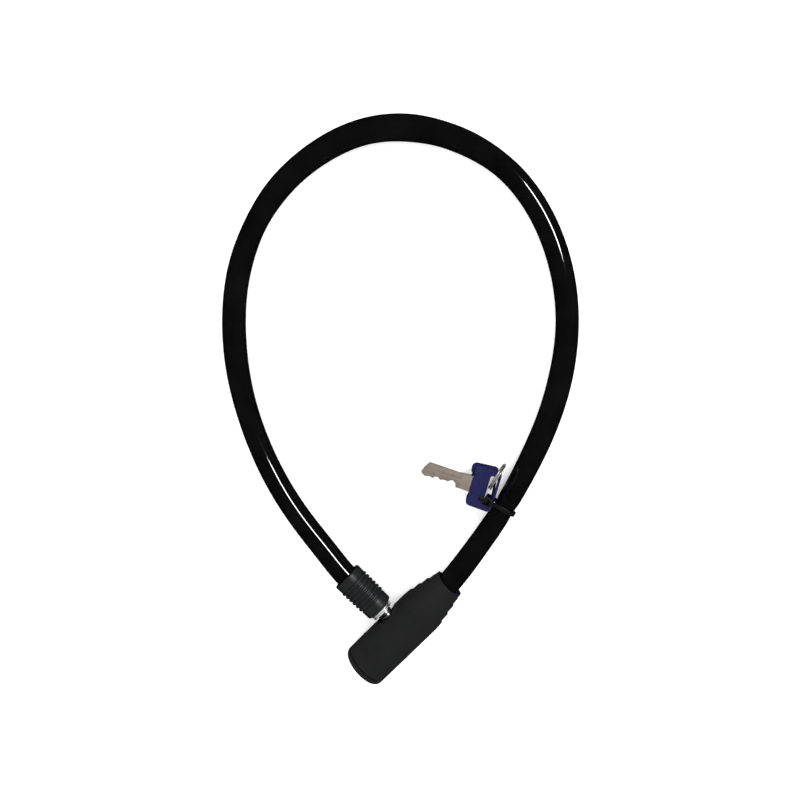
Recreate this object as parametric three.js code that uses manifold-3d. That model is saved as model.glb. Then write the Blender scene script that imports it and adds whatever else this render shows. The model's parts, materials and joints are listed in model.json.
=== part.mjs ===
// Keyed cable lock: a round barrel with a key cylinder, a sheathed steel cable fixed in its neck,
// and a studded ferrule at the cable's other end that plugs into the barrel's side.
// Millimetres. The lock lies on a table at z = 0. The origin is on the table, below the point
// where the barrel's axis (X, towards the neck) crosses the stud's axis (Y, towards the ferrule).
import * as THREE from "three";
import { mergeVertices } from "three/addons/utils/BufferGeometryUtils.js";
import Module from "manifold-3d";

const wasm = await Module();
wasm.setup();

// ---- driving dimensions -------------------------------------------------------------------

const GAP = 0.3; // clearance between pieces that touch
const BARREL_R = 12;
const AXIS_Z = BARREL_R; // height of the barrel's and the stud's axes
const END_X = -30; // keyhole end
const SEAM_X = -26.7; // joint between end cap and jacket
const NECK_X = 14; // where the neck's taper starts
const MOUTH_X = 36; // neck mouth
const MOUTH_R = 7.9;
const COVER_WALL = 1.6;
const CASE_R = BARREL_R - COVER_WALL - GAP;
const CASE_END_X = 23.5;
const ROUND_SIDES = 36;
const SMALL_SIDES = 20;

const SHELL_R = 7;
const SHELL_END_X = -10.2;
const PLUG_R = 4.7;
const PLUG_FACE_X = -29.4;
const PLUG_END_X = -9.9;
const TAIL_R = 2.9;
const TAIL_END_X = -7.2;
const KEYWAY_HEIGHT = 7.8;
const KEYWAY_WIDTH = 2.3;
const KEYWAY_END_X = -10.6;
const WAFER_COUNT = 4;
const WAFER_FIRST_X = -23.4;
const WAFER_PITCH = 3;
const WAFER_THICK = 1.2;
const WAFER_WIDTH = 5.6;
const WAFER_TRAVEL = 0.8;

const CAM_X = -8.7;
const CAM_FLOOR_X = -7.5;
const CAM_R = 6.1;
const CAM_RISE = 2; // latch travel for a quarter turn of the key
const LATCH_BACK_X = -6.9;
const LATCH_FRONT_X = -3.6;
const LATCH_HALF_HEIGHT = 5.5;
const LATCH_THICK = 1.8;
const LATCH_MOUTH_R = 3;
const LATCH_EAR_HEIGHT = 8.4;
const LATCH_SPRING_Z = 7;

const STUD_R = 4;
const STUD_NECK_R = 2.7;
const STUD_TIP_Y = -7;
const STUD_SHANK_R = 3.2;
const SOCKET_R = 6;
const SOCKET_FLOOR_Y = 7.2;
const COLLAR_Y = 13.6;
const COLLAR_LENGTH = 2.1;
const COLLAR_R = 6.35;
const FERRULE_Y = 16;
const FERRULE_END_Y = 40;
const FERRULE_R = 7.6;
const FERRULE_END_R = 8.1;
const FERRULE_RIDGE = 0.35; // how far its ridges stand above it
const CRIMP_END_Y = 32.7;

const CABLE_R = 6;
const CORE_R = 3;
const CABLE_STEPS = 60;
// Centre line of the cable, from the anchor in the barrel's neck round the loop to the ferrule.
const CABLE_ROUTE = [
  [22, 0, 12],
  [29, 0, 12],
  [57.5, 3, 10.4],
  [83, 7.5, 7.5],
  [107.5, 14.5, 6.3],
  [131.5, 24, 6.1],
  [154, 37, 6.1],
  [173.5, 53.5, 6.1],
  [189, 74, 6.1],
  [199.5, 97.5, 6.1],
  [203.5, 123, 6.1],
  [199, 148.5, 6.1],
  [187.5, 171, 6.1],
  [169, 189, 6.1],
  [145.5, 199, 6.1],
  [120, 202, 6.1],
  [94.5, 197.5, 6.1],
  [71, 186.5, 6.1],
  [51, 170.5, 6.1],
  [34, 151, 6.1],
  [20.5, 129, 6.1],
  [10.5, 105.5, 6.6],
  [4.5, 80.5, 8.9],
  [1.5, 55, 11.4],
  [0, 40, 12],
  [0, 33, 12],
];

const HEAD_LENGTH = 13.5; // key head, along the key
const HEAD_WIDTH = 21.5;
const HEAD_THICK = 4;
const HEAD_CORNER_R = 3;
const SLOT_LENGTH = 15;
const SLOT_WIDTH = 4.2;
const SLOT_OFFSET = -3.6; // slot centre along the key, from the head's centre
const BLADE_LENGTH = 25.5;
const BLADE_HEIGHT = 7.4;
const BLADE_THICK = 1.9;
const SHOULDER_HEIGHT = 8.2;
const SHOULDER_LENGTH = 6.5;
const BLADE_ROOT = 5; // depth of the blade's tang inside the head
const KEY_RELIEF = 1.7; // how far the cut edge stands back from the shoulder's line
const KEY_CUTS = [2.8, 2.1, 2.9, 2.3]; // depth of the cut at each wafer

const RING_R = 7.35; // middle of the wire
const RING_WIRE_R = 0.43;
const RING_LEAN = -7; // degrees from upright

const TIE_WIDTH = 2.2;
const TIE_THICK = 0.9;
const TIE_BOX = 4.4;
const TIE_AT = 0.102; // its place on the cable, as a fraction of the cable's length
const TIE_REACH = 10; // from the cable's centre to where it comes down through the keys

// ---- solids ---------------------------------------------------------------------------------

function solidOf(geometry) {
  const plain = geometry.clone();
  plain.deleteAttribute("normal");
  plain.deleteAttribute("uv");
  const merged = mergeVertices(plain, 1e-4);
  const mesh = new wasm.Mesh({
    numProp: 3,
    vertProperties: new Float32Array(merged.attributes.position.array),
    triVerts: new Uint32Array(merged.index.array),
  });
  return new wasm.Manifold(mesh);
}

function geometryOf(solid) {
  const mesh = solid.getMesh();
  const geometry = new THREE.BufferGeometry();
  geometry.setAttribute("position", new THREE.BufferAttribute(mesh.vertProperties, 3));
  geometry.setIndex(new THREE.BufferAttribute(mesh.triVerts, 1));
  return geometry;
}

// A piece cut by, and joined with, other geometries.
function carve(geometry, { cuts = [], joins = [] }) {
  let solid = solidOf(geometry);
  for (const join of joins) solid = solid.add(solidOf(join));
  for (const cut of cuts) solid = solid.subtract(solidOf(cut));
  return geometryOf(solid);
}

function both(first, second) {
  return geometryOf(solidOf(first).intersect(solidOf(second)));
}

// A ring, rod or shell turned about the barrel's axis. Profile points are [x, radius], and the
// flats of the polygon lie at that radius, one of them facing down.
function turned(profile, sides = ROUND_SIDES, close = true) {
  const toCorner = 1 / Math.cos(Math.PI / sides);
  const points = profile.map(([x, r]) => new THREE.Vector2(r * toCorner, x));
  if (close) points.push(points[0].clone());
  const geometry = new THREE.LatheGeometry(points, sides, Math.PI / sides);
  geometry.rotateZ(-Math.PI / 2);
  return facingOut(geometry);
}

// Reverses the faces where a profile was given the other way round.
function facingOut(geometry) {
  const plain = geometry.clone();
  plain.deleteAttribute("normal");
  plain.deleteAttribute("uv");
  const merged = mergeVertices(plain, 1e-4);
  const position = merged.attributes.position;
  const index = merged.index.array;
  const [a, b, c] = [new THREE.Vector3(), new THREE.Vector3(), new THREE.Vector3()];
  let volume = 0;
  for (let i = 0; i < index.length; i += 3) {
    a.fromBufferAttribute(position, index[i]);
    b.fromBufferAttribute(position, index[i + 1]);
    c.fromBufferAttribute(position, index[i + 2]);
    volume += a.dot(b.cross(c));
  }
  if (volume < 0) {
    for (let i = 0; i < index.length; i += 3) {
      [index[i + 1], index[i + 2]] = [index[i + 2], index[i + 1]];
    }
  }
  return merged;
}

// The same, moved up to the barrel's axis.
function onBarrel(profile, sides) {
  return turned(profile, sides).translate(0, 0, AXIS_Z);
}

// The same, about the stud's axis: profile points are [y, radius].
function onStud(profile, sides) {
  return turned(profile, sides).rotateZ(Math.PI / 2).translate(0, 0, AXIS_Z);
}

// A solid rod between two stations of an axis.
function rod(low, high, radius) {
  return [
    [low, 0],
    [low, radius],
    [high, radius],
    [high, 0],
  ];
}

// A tube's profile between two stations of an axis.
function pipe(low, high, inner, outer) {
  return [
    [low, inner],
    [low, outer],
    [high, outer],
    [high, inner],
  ];
}

// A box from its lowest and highest corners, with heights counted from the barrel's axis.
function block(low, high) {
  const size = low.map((value, i) => high[i] - value);
  const centre = low.map((value, i) => (value + high[i]) / 2);
  const geometry = new THREE.BoxGeometry(...size);
  return geometry.translate(centre[0], centre[1], centre[2] + AXIS_Z);
}

function slab(shape, thickness, curveSegments = 8) {
  const options = { depth: thickness, bevelEnabled: false, curveSegments };
  const geometry = new THREE.ExtrudeGeometry(shape, options);
  return geometry.translate(0, 0, -thickness / 2);
}

function circleShape(radius, sides, turn = 0) {
  const points = [];
  for (let i = 0; i < sides; i++) {
    const angle = turn + (i / sides) * 2 * Math.PI;
    points.push(new THREE.Vector2(radius * Math.cos(angle), radius * Math.sin(angle)));
  }
  return new THREE.Shape(points);
}

function sweep(shape, curve, steps) {
  return new THREE.ExtrudeGeometry(shape, { steps, extrudePath: curve, bevelEnabled: false });
}

// A compression spring along +X from the origin.
function coil(length, radius, wireR, turns, stepsPerTurn, wireSides) {
  const steps = Math.round(turns * stepsPerTurn);
  const points = [];
  for (let i = 0; i <= steps; i++) {
    const angle = (i / stepsPerTurn) * 2 * Math.PI;
    const along = wireR + (length - 2 * wireR) * (i / steps);
    points.push(new THREE.Vector3(along, radius * Math.cos(angle), radius * Math.sin(angle)));
  }
  return sweep(circleShape(wireR, wireSides), new THREE.CatmullRomCurve3(points), steps);
}

const lock = new THREE.Group();

function add(name, geometry, colour, roughness, metalness, parent = lock) {
  const material = new THREE.MeshStandardMaterial({ color: colour, roughness, metalness });
  const mesh = new THREE.Mesh(geometry, material);
  mesh.name = name;
  parent.add(mesh);
  return mesh;
}

const SOFT_GREY = 0x272a29;
const SHEATH_BLACK = 0x0a0a0b;
const GRIP_GREY = 0x323637;
const KEY_BLUE = 0x2b2f7a;
const STEEL = 0xb9bbbd;
const ZINC = 0x8d9094;
const BRASS = 0xb59a52;
const RUBBER = 0x121212;

// ---- barrel ---------------------------------------------------------------------------------

// Radius of the neck's smooth surface: an S-shaped taper from the barrel to the mouth.
function neckRadius(x) {
  const t = THREE.MathUtils.clamp((x - NECK_X) / (MOUTH_X - NECK_X), 0, 1);
  return BARREL_R - (BARREL_R - MOUTH_R) * (0.35 * t * t + 0.65 * t ** 1.35);
}

// Shallow steps cut in the neck's two sides, which leave four ribs.
function neckSteps() {
  const rings = [];
  for (const x of [18.4, 23.6, 28.8, 33]) {
    const r = neckRadius(x);
    rings.push(
      onBarrel([
        [x, r - 0.55],
        [x + 0.3, r + 1.5],
        [x + 5.5, r + 1.5],
        [x + 3.6, neckRadius(x + 3.6) - 0.05],
      ]),
    );
  }
  const sides = [
    block([NECK_X, 4.5, -8], [MOUTH_X + 3, 14, 8]),
    block([NECK_X, -14, -8], [MOUTH_X + 3, -4.5, 8]),
  ];
  return rings.flatMap((ring) => sides.map((side) => both(ring, side)));
}

function barrelCover() {
  const outer = [[SEAM_X + GAP, BARREL_R]];
  const stations = 7;
  for (let i = 0; i <= stations; i++) {
    const x = NECK_X + (i / stations) * (MOUTH_X - NECK_X);
    outer.push([x, neckRadius(x)]);
  }
  const boreR = BARREL_R - COVER_WALL;
  const inner = [
    [MOUTH_X, 7.2],
    [CASE_END_X + 0.6, 7.2],
    [CASE_END_X + 0.3, 8.8],
    [NECK_X + 1, boreR],
    [SEAM_X + GAP, boreR],
  ];
  const scoopR = 19.3; // the mouth is scooped by an upright cylinder
  const scoopDepth = 1.6;
  const scoop = new THREE.CylinderGeometry(scoopR, scoopR, 30, 64);
  scoop.rotateX(Math.PI / 2).translate(MOUTH_X - scoopDepth + scoopR, 0, AXIS_Z);
  const socket = onStud(rod(5, 14, SOCKET_R), 32);
  return carve(onBarrel([...outer, ...inner]), { cuts: [scoop, socket, ...neckSteps()] });
}

function endCap() {
  const profile = [
    [END_X, PLUG_R + 0.7],
    [END_X, 7.6],
    [END_X + 0.5, 9.6],
    [END_X + 1.2, 11],
    [END_X + 2.2, 11.8],
    [END_X + 3, BARREL_R],
    [SEAM_X, BARREL_R],
    [SEAM_X, CASE_R],
    [SEAM_X + 2.5, CASE_R],
    [SEAM_X + 2.5, CASE_R - 1.1],
    [SEAM_X, CASE_R - 1.1],
    [SEAM_X, PLUG_R + 0.7],
  ];
  return onBarrel(profile);
}

function lockCase() {
  const noseX = SEAM_X + GAP;
  const stepX = SEAM_X + 2.5 + GAP;
  const noseR = CASE_R - 1.1 - GAP;
  const body = onBarrel([
    [noseX, 0],
    [noseX, noseR],
    [stepX, noseR],
    [stepX, CASE_R],
    [NECK_X, CASE_R],
    [CASE_END_X, 8.4],
    [CASE_END_X, 0],
  ]);
  const mouth = noseX - 1;
  const chamberX = -5.2;
  const studBoreR = STUD_R + GAP;
  const slotHalf = LATCH_THICK / 2 + GAP;
  return carve(body, {
    cuts: [
      onBarrel(rod(mouth, PLUG_END_X, SHELL_R + GAP), 32),
      onBarrel(rod(PLUG_END_X - 0.1, chamberX, CAM_R + GAP), 32),
      block([chamberX - 0.1, -slotHalf, -5.8], [-0.9, slotHalf, 5.8]),
      block([-7.4, -slotHalf, 5], [LATCH_FRONT_X + 0.4, slotHalf, LATCH_EAR_HEIGHT + GAP]),
      onBarrel(rod(-5.4, 3, 1.65), 12).translate(0, 0, LATCH_SPRING_Z),
      onStud(rod(STUD_TIP_Y - 1, 14, studBoreR), SMALL_SIDES),
      onStud(rod(SOCKET_FLOOR_Y, 14, SOCKET_R + GAP), 32),
      onBarrel(rod(8, 22, 5.6), SMALL_SIDES),
      onBarrel(rod(21.7, CASE_END_X + 1, CABLE_R + GAP), SMALL_SIDES),
      onBarrel(rod(-12, -5.3, 2.2), 16).rotateZ(Math.PI / 2).translate(14, 0, 0),
    ],
  });
}

add("barrel_cover", barrelCover(), SOFT_GREY, 0.8, 0);
add("end_cap", endCap(), SOFT_GREY, 0.75, 0);
add("lock_case", lockCase(), ZINC, 0.45, 0.9);

const gasketProfile = pipe(SOCKET_FLOOR_Y + GAP, SOCKET_FLOOR_Y + 1.9, STUD_R + GAP, SOCKET_R - GAP);
const gasket = onStud(gasketProfile, 28);
add("socket_gasket", gasket, RUBBER, 0.9, 0);

const bush = onBarrel([
  [CASE_END_X + 0.9, CABLE_R + 0.35],
  [CASE_END_X + 0.9, 6.9],
  [MOUTH_X - 2.2, 6.9],
  [MOUTH_X - 2.2, CABLE_R + 0.65],
  [MOUTH_X - 6, CABLE_R + 0.35],
]);
add("neck_bush", bush, 0x1a1c66, 0.45, 0);

// ---- key cylinder ---------------------------------------------------------------------------

const waferStations = [];
for (let i = 0; i < WAFER_COUNT; i++) waferStations.push(WAFER_FIRST_X + i * WAFER_PITCH);

function cylinderShell() {
  const grooveLow = WAFER_FIRST_X - WAFER_THICK;
  const grooveHigh = waferStations[WAFER_COUNT - 1] + WAFER_THICK;
  const reach = PLUG_R + GAP + WAFER_TRAVEL + 0.3;
  const half = WAFER_WIDTH / 2 + GAP;
  return carve(onBarrel(pipe(SEAM_X + 0.5, SHELL_END_X, PLUG_R + GAP, SHELL_R)), {
    cuts: [
      block([grooveLow, -half, -reach], [grooveHigh, half, reach]),
      block([grooveLow, -reach, -half], [grooveHigh, reach, half]),
    ],
  });
}

function lockPlug() {
  const body = onBarrel([
    [PLUG_FACE_X, 0],
    [PLUG_FACE_X, PLUG_R + 0.3],
    [SEAM_X, PLUG_R + 0.3],
    [SEAM_X, PLUG_R],
    [PLUG_END_X, PLUG_R],
    [PLUG_END_X, TAIL_R],
    [TAIL_END_X, TAIL_R],
    [TAIL_END_X, 0],
  ]);
  const keyway = block(
    [PLUG_FACE_X - 1, -KEYWAY_WIDTH / 2, -KEYWAY_HEIGHT / 2],
    [KEYWAY_END_X, KEYWAY_WIDTH / 2, KEYWAY_HEIGHT / 2],
  );
  const half = WAFER_WIDTH / 2 + GAP;
  const halfThick = WAFER_THICK / 2 + GAP;
  const slots = waferStations.map((x) => block([x - halfThick, -half, -6], [x + halfThick, half, 6]));
  return carve(body, { cuts: [keyway, ...slots] });
}

// A wafer: a plate across the plug with a window for the key blade and a ledge for its spring.
function wafer(x) {
  const disc = onBarrel(rod(x - WAFER_THICK / 2, x + WAFER_THICK / 2, PLUG_R - 0.1), ROUND_SIDES);
  const width = block([x - 2, -WAFER_WIDTH / 2, -6], [x + 2, WAFER_WIDTH / 2, 6]);
  const window = block([x - 2, -1.1, -3.3], [x + 2, 1.1, 3.3]);
  const springNotch = block([x - 2, 1.55, -1.4], [x + 2, 4, 1.4]);
  return carve(both(disc, width), { cuts: [window, springNotch] });
}

function waferSpring(x) {
  const spring = coil(2.1, 0.36, 0.12, 3.5, 6, 4);
  spring.rotateY(-Math.PI / 2);
  return spring.translate(x, 2.25, AXIS_Z - 1.05);
}

add("cylinder_shell", cylinderShell(), BRASS, 0.4, 1);
add("lock_plug", lockPlug(), STEEL, 0.3, 1);
waferStations.forEach((x, i) => {
  add(`wafer_${i + 1}`, wafer(x), BRASS, 0.35, 1);
  add(`wafer_spring_${i + 1}`, waferSpring(x), STEEL, 0.3, 1);
});

const clipRing = onBarrel(pipe(-9.55, -9, TAIL_R + GAP, 5.6), SMALL_SIDES);
const clipMouth = block([-11, -1.9, -8], [-8, 1.9, 0]);
add("plug_clip", carve(clipRing, { cuts: [clipMouth] }), STEEL, 0.3, 1);

// Height of the cam's ramp at an angle from the latch, in degrees: it rises over a quarter turn
// as the cam turns under the latch, stays high, and drops back. Both halves of the ring match.
function rampHeight(degrees) {
  const turn = (((180 - degrees) % 180) + 180) % 180;
  if (turn <= 90) return (CAM_RISE * turn) / 90;
  if (turn <= 105) return CAM_RISE;
  if (turn <= 160) return (CAM_RISE * (160 - turn)) / 55;
  return 0;
}

// The ramp is a washer whose front face is pushed up, station by station round the ring.
function plugCam() {
  const sides = 48;
  const ring = turned(pipe(CAM_X, CAM_FLOOR_X, TAIL_R + GAP, CAM_R), sides);
  const position = ring.attributes.position;
  for (let i = 0; i < position.count; i++) {
    if (position.getX(i) < CAM_FLOOR_X - 0.01) continue;
    const angle = THREE.MathUtils.radToDeg(Math.atan2(position.getZ(i), position.getY(i)));
    position.setX(i, CAM_FLOOR_X + rampHeight(angle - 90));
  }
  return ring.translate(0, 0, AXIS_Z);
}

function latchPlate() {
  const mouthX = LATCH_FRONT_X + 1.6; // centre of the round mouth that takes the stud's neck
  const mouthReach = Math.acos(-1.6 / LATCH_MOUTH_R) * -1;
  const shape = new THREE.Shape();
  shape.moveTo(LATCH_BACK_X, -LATCH_HALF_HEIGHT);
  shape.lineTo(LATCH_FRONT_X, -LATCH_HALF_HEIGHT);
  shape.lineTo(LATCH_FRONT_X, LATCH_MOUTH_R * Math.sin(mouthReach));
  shape.absarc(mouthX, 0, LATCH_MOUTH_R, mouthReach, -mouthReach, true);
  shape.lineTo(LATCH_FRONT_X, LATCH_HALF_HEIGHT);
  shape.lineTo(LATCH_FRONT_X - 1.9, LATCH_HALF_HEIGHT);
  shape.lineTo(LATCH_FRONT_X - 1.9, LATCH_EAR_HEIGHT);
  shape.lineTo(LATCH_BACK_X, LATCH_EAR_HEIGHT);
  const plate = slab(shape, LATCH_THICK, 16);
  return plate.rotateX(Math.PI / 2).translate(0, 0, AXIS_Z);
}

const latchSpring = coil(7.9, 1.05, 0.2, 5, 8, 5);
latchSpring.translate(LATCH_FRONT_X - 1.6, 0, AXIS_Z + LATCH_SPRING_Z);

add("plug_cam", plugCam(), STEEL, 0.35, 1);
add("latch_plate", latchPlate(), STEEL, 0.3, 1);
add("latch_spring", latchSpring, STEEL, 0.3, 1);

// ---- stud and ferrule -----------------------------------------------------------------------

const stud = onStud([
  [STUD_TIP_Y, 0],
  [STUD_TIP_Y, 2],
  [STUD_TIP_Y + 3, STUD_R],
  [-1.4, STUD_R],
  [-1.4, STUD_NECK_R],
  [1.4, STUD_NECK_R],
  [1.4, STUD_R],
  [COLLAR_Y - GAP, STUD_R],
  [COLLAR_Y - GAP, STUD_SHANK_R],
  [24, STUD_SHANK_R],
  [24, 0],
], 28);
add("locking_stud", stud, STEEL, 0.18, 1);

const lip = 0.75;
const collarBore = STUD_SHANK_R + GAP;
const collarTop = COLLAR_Y + COLLAR_LENGTH;
const collar = onStud([
  [COLLAR_Y, collarBore],
  [COLLAR_Y, COLLAR_R - 0.35],
  [COLLAR_Y + 0.2, COLLAR_R - 0.1],
  [COLLAR_Y + lip, COLLAR_R - 0.1],
  [COLLAR_Y + lip, COLLAR_R - 0.8],
  [collarTop - lip, COLLAR_R - 0.8],
  [collarTop - lip, COLLAR_R],
  [collarTop, COLLAR_R],
  [collarTop, collarBore],
], 32);
add("stud_collar", collar, 0xd8dadc, 0.1, 1);

function ferruleCover() {
  const ribs = 6;
  const ribsLow = FERRULE_Y + 5;
  const ribsHigh = FERRULE_END_Y - 5;
  const pitch = (ribsHigh - ribsLow) / ribs;
  const radiusAt = (y) => FERRULE_R + ((FERRULE_END_R - FERRULE_R) * (y - FERRULE_Y)) / 24;
  const profile = [
    [FERRULE_Y, 5.9],
    [FERRULE_Y, FERRULE_R - 0.5],
    [FERRULE_Y + 0.5, FERRULE_R],
    [ribsLow, radiusAt(ribsLow)],
  ];
  for (let i = 0; i < ribs; i++) {
    const y = ribsLow + i * pitch;
    profile.push([y + 0.1 * pitch, radiusAt(y) - 0.3]);
    profile.push([y + 0.3 * pitch, radiusAt(y) - 0.3]);
    profile.push([y + 0.5 * pitch, radiusAt(y) + FERRULE_RIDGE]);
    profile.push([y + 0.85 * pitch, radiusAt(y) + FERRULE_RIDGE]);
  }
  profile.push(
    [ribsHigh + 0.4, radiusAt(ribsHigh)],
    [FERRULE_END_Y - 0.5, FERRULE_END_R],
    [FERRULE_END_Y, FERRULE_END_R - 0.5],
    [FERRULE_END_Y, CABLE_R + GAP],
    [CRIMP_END_Y + 0.1, CABLE_R + GAP],
    [CRIMP_END_Y, 5.9],
  );
  return onStud(profile, 30);
}

add("ferrule_cover", ferruleCover(), GRIP_GREY, 0.5, 0);
const crimpProfile = pipe(collarTop + GAP, CRIMP_END_Y, CORE_R + 0.55, 5.6);
add("ferrule_crimp", onStud(crimpProfile, SMALL_SIDES), ZINC, 0.4, 1);

// ---- cable ----------------------------------------------------------------------------------

const routePoints = CABLE_ROUTE.map((point) => new THREE.Vector3(...point));
const cableCurve = new THREE.CatmullRomCurve3(routePoints, false, "centripetal");

const sheathSection = circleShape(CABLE_R, 10, Math.PI / 10);
sheathSection.holes.push(circleShape(CORE_R + 0.6, 8));
add("cable_sheath", sweep(sheathSection, cableCurve, CABLE_STEPS), SHEATH_BLACK, 0.12, 0);

// The rope sticks out of the sheath at both ends, into the sleeves that grip it.
const coreTurned = Math.PI / 8;
const coreStart = onBarrel(rod(9.5, routePoints[0].x + 2, CORE_R * Math.cos(coreTurned)), 8);
const coreEnd = onStud(rod(24.6, routePoints.at(-1).y + 2, CORE_R * Math.cos(coreTurned)), 8);
const rope = sweep(circleShape(CORE_R, 8), cableCurve, CABLE_STEPS);
add("cable_core", carve(rope, { joins: [coreStart, coreEnd] }), ZINC, 0.5, 1);

const anchorProfile = pipe(8.4, routePoints[0].x - GAP, CORE_R + 0.3, 5.3);
add("anchor_sleeve", onBarrel(anchorProfile, SMALL_SIDES), ZINC, 0.4, 1);

const screw = onBarrel(rod(-9.8, -5.7, 1.9), 16).rotateZ(Math.PI / 2).translate(14, 0, 0);
const hexSocket = onBarrel(rod(-10.5, -8, 0.9), 6).rotateZ(Math.PI / 2).translate(14, 0, 0);
add("anchor_screw", carve(screw, { cuts: [hexSocket] }), STEEL, 0.35, 1);

// ---- keys, ring and tie ---------------------------------------------------------------------

function roundedRectangle(width, height, radius) {
  const [x, y] = [width / 2, height / 2];
  const shape = new THREE.Shape();
  shape.moveTo(-x + radius, -y);
  shape.lineTo(x - radius, -y);
  shape.absarc(x - radius, -y + radius, radius, -Math.PI / 2, 0);
  shape.lineTo(x, y - radius);
  shape.absarc(x - radius, y - radius, radius, 0, Math.PI / 2);
  shape.lineTo(-x + radius, y);
  shape.absarc(-x + radius, y - radius, radius, Math.PI / 2, Math.PI);
  shape.lineTo(-x, -y + radius);
  shape.absarc(-x + radius, -y + radius, radius, Math.PI, 1.5 * Math.PI);
  return shape;
}

// A key head lies across X, centred on the origin, with the blade leaving towards +X.
function keyHead() {
  const outline = roundedRectangle(HEAD_LENGTH, HEAD_WIDTH, HEAD_CORNER_R);
  const slot = roundedRectangle(SLOT_WIDTH, SLOT_LENGTH, SLOT_WIDTH / 2 - 0.01);
  const slotCut = slab(slot, HEAD_THICK + 2).translate(SLOT_OFFSET, 0, 0);
  const rootLow = HEAD_LENGTH / 2 - BLADE_ROOT - GAP;
  const root = new THREE.BoxGeometry(BLADE_ROOT + 5, SHOULDER_HEIGHT + 2 * GAP, BLADE_THICK + 2 * GAP);
  root.translate(rootLow + (BLADE_ROOT + 5) / 2, 0, 0);
  return carve(slab(outline, HEAD_THICK, 5), { cuts: [slotCut, root] });
}

// The blade: a wide shoulder, then one edge cut to a different depth at each wafer.
function keyBlade(cuts) {
  const root = HEAD_LENGTH / 2 - BLADE_ROOT;
  const face = HEAD_LENGTH / 2;
  const tip = face + BLADE_LENGTH;
  const top = BLADE_HEIGHT / 2;
  const shoulder = SHOULDER_HEIGHT / 2;
  const shoulderEnd = face + SHOULDER_LENGTH;
  const pitch = (tip - 2.5 - shoulderEnd) / cuts.length;
  const shape = new THREE.Shape();
  shape.moveTo(root, -shoulder);
  shape.lineTo(root, shoulder);
  shape.lineTo(shoulderEnd, shoulder);
  shape.lineTo(shoulderEnd, top);
  cuts.forEach((depth, i) => {
    const x = shoulderEnd + 0.4 + i * pitch;
    shape.lineTo(x, top - KEY_RELIEF);
    shape.lineTo(x + 0.3 * pitch, top - depth);
    shape.lineTo(x + 0.6 * pitch, top - depth);
  });
  shape.lineTo(tip - 2, top - KEY_RELIEF - 0.2);
  shape.lineTo(tip, 0.3);
  shape.lineTo(tip, -0.8);
  shape.lineTo(tip - 1.6, -top);
  shape.lineTo(shoulderEnd - 0.5, -top);
  shape.lineTo(shoulderEnd - 1.5, -shoulder);
  const grooveLength = BLADE_LENGTH + 2;
  const groove = new THREE.BoxGeometry(grooveLength, 1, 0.5);
  groove.translate(shoulderEnd - 1 + grooveLength / 2, -1.2, BLADE_THICK / 2);
  return carve(slab(shape, BLADE_THICK), { cuts: [groove] });
}

const seat = cableCurve.getPointAt(TIE_AT); // where the tie grips the cable
const along = cableCurve.getTangentAt(TIE_AT);
const alongHeading = Math.atan2(along.y, along.x);
const aside = alongHeading + Math.PI / 2; // from the cable towards the keys
const tieSlot = [seat.x + TIE_REACH * Math.cos(aside), seat.y + TIE_REACH * Math.sin(aside)];

// Places a key by the point of its slot where the tie comes down (along and across the key from
// the head's centre), the head's height, the blade's heading on the table, and how far the
// blade dips towards it.
function placeKey(name, slotPoint, height, heading, dip, cuts) {
  const turn = THREE.MathUtils.degToRad(heading);
  const [forward, side] = slotPoint;
  const x = tieSlot[0] - forward * Math.cos(turn) + side * Math.sin(turn);
  const y = tieSlot[1] - forward * Math.sin(turn) - side * Math.cos(turn);
  const key = new THREE.Group();
  key.position.set(x, y, height);
  key.rotation.set(0, THREE.MathUtils.degToRad(dip), turn, "ZYX");
  lock.add(key);
  add(`${name}_head`, keyHead(), KEY_BLUE, 0.45, 0, key);
  add(`${name}_blade`, keyBlade(cuts), 0xa8a49a, 0.35, 1, key);
}

placeKey("key_1", [SLOT_OFFSET + 0.3, 5], 12, 118, 12, KEY_CUTS);
placeKey("key_2", [SLOT_OFFSET, 5.6], 6.6, 124, 9.2, KEY_CUTS);

// A split ring: nearly two turns of wire, side by side except where one crosses to the other.
function keyRing() {
  const turns = 1.94;
  const stepsPerTurn = 20;
  const steps = Math.round(turns * stepsPerTurn);
  const sideStep = RING_WIRE_R * 2.3;
  const points = [];
  for (let i = 0; i <= steps; i++) {
    const turn = i / stepsPerTurn;
    const angle = 2 * Math.PI * turn;
    const side = sideStep * (THREE.MathUtils.smoothstep(turn, 0.78, 1.18) - 0.5);
    points.push(new THREE.Vector3(RING_R * Math.cos(angle), side, RING_R * Math.sin(angle)));
  }
  return sweep(circleShape(RING_WIRE_R, 5), new THREE.CatmullRomCurve3(points), steps);
}

// It stands on edge beside the cable, with its near side down through both heads' slots.
const ring = keyRing();
ring.rotateX(THREE.MathUtils.degToRad(RING_LEAN)).rotateZ(THREE.MathUtils.degToRad(13));
ring.translate(seat.x + 9.5, seat.y + 14.1, RING_R + RING_WIRE_R + 1.6);
add("key_ring", ring, 0xc9c7bf, 0.25, 1);

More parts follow.
